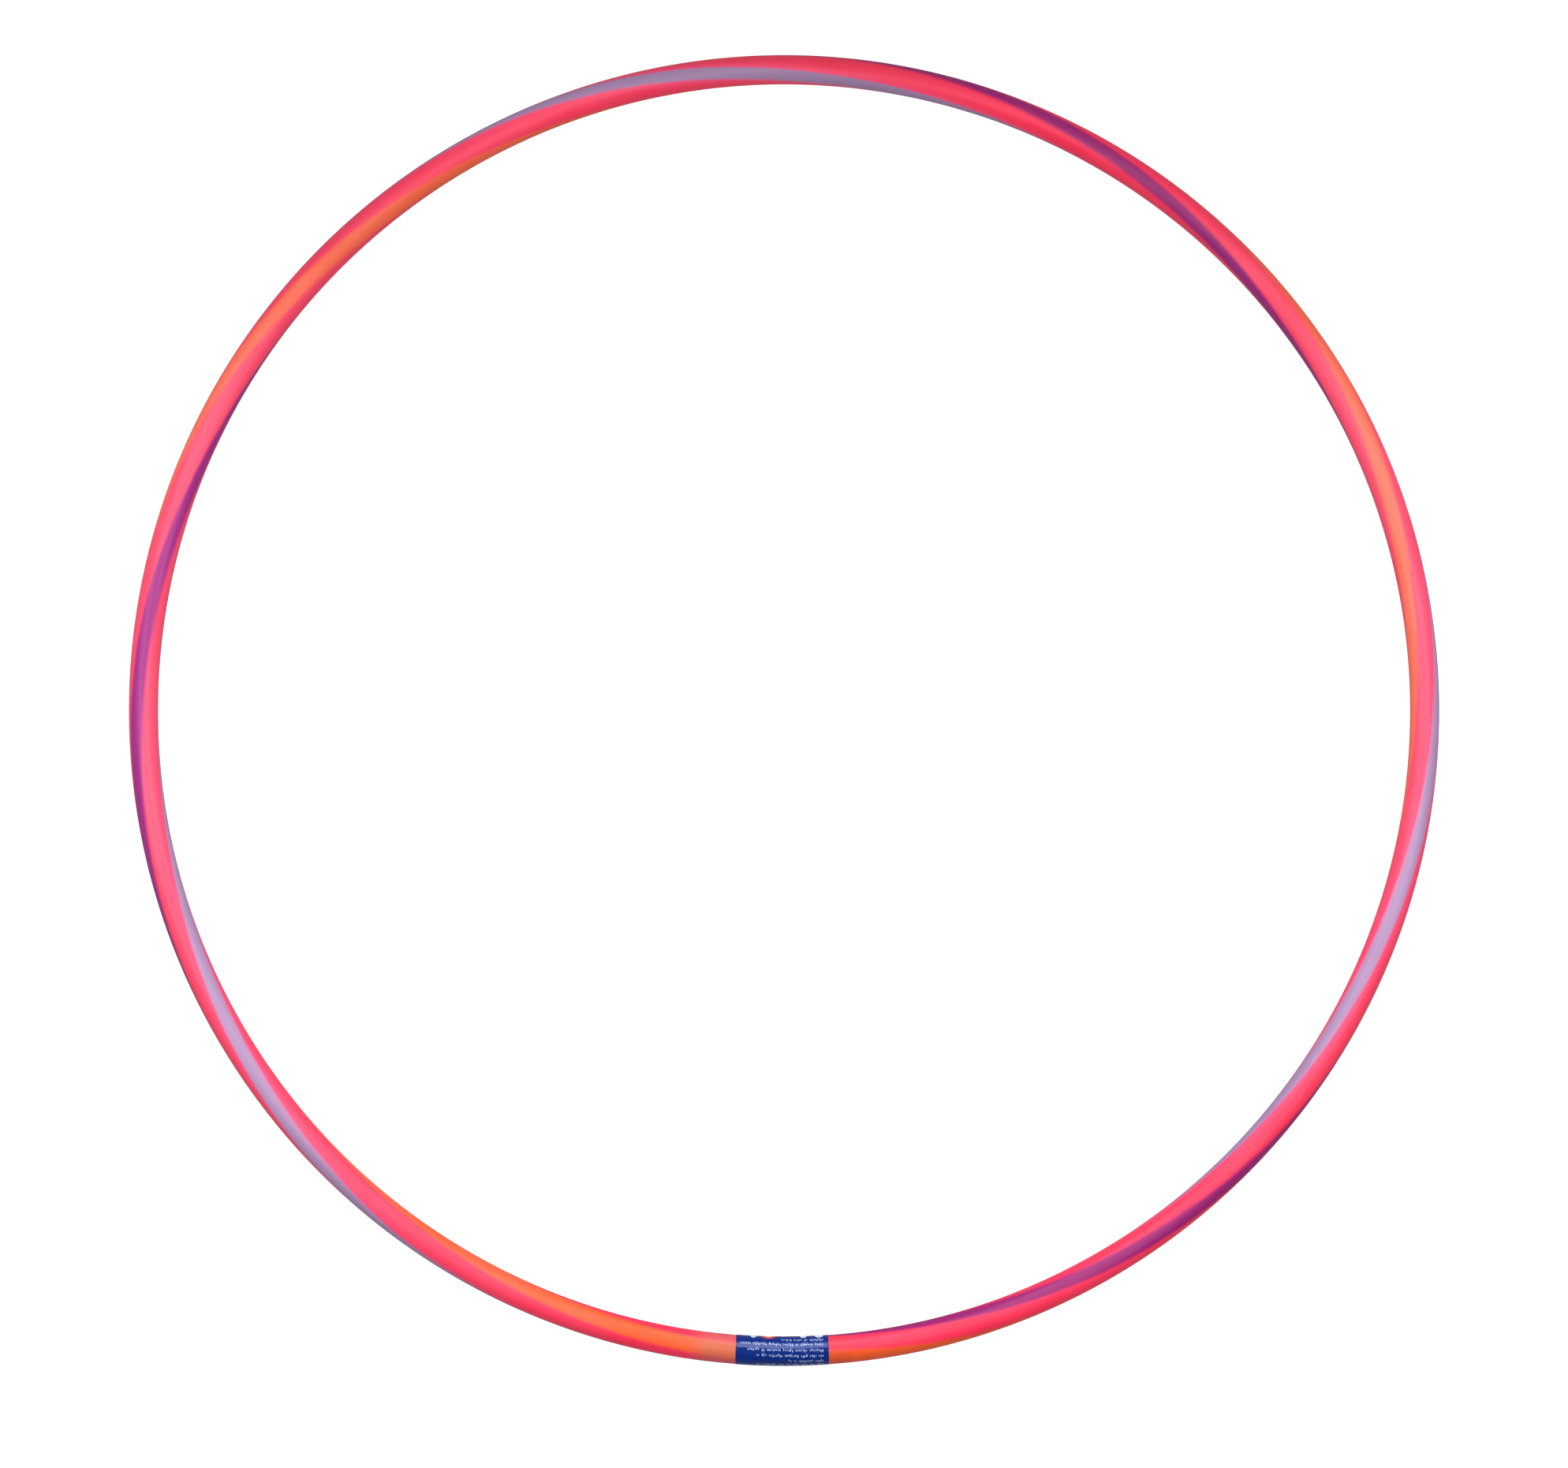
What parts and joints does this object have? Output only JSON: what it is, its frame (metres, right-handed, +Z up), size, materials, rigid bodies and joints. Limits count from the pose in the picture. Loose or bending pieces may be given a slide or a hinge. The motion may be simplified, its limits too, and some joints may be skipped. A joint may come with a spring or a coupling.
{
  "type": "rhythmic hoop",
  "caption": "Large round plastic hoop with spiral coloured stripes and a wrap-round label over its joint, for rhythmic gymnastics, dance, cheer routines and hooping.",
  "frame": {"origin": "middle of the ring, on the plane that the hoop lies on", "axes": "+Z up along the ring's axis; the joint and its label are at -Y; +X is to the right of the joint seen from above"},
  "size_m": [0.7618, 0.762, 0.0174],
  "materials": {
    "tube_plastic": "satin, slightly see-through pink plastic with orange, lilac and purple stripes",
    "plug_plastic": "matt natural plastic",
    "staple_steel": "bright drawn wire",
    "label_film": "glossy laminated print, blue"
  },
  "bodies": {
    "root": {"hoop_tube": "tube_plastic", "joint_plug": "plug_plastic", "joint_staple_left": "staple_steel", "joint_staple_right": "staple_steel", "label": "label_film"}
  },
  "joints": []
}
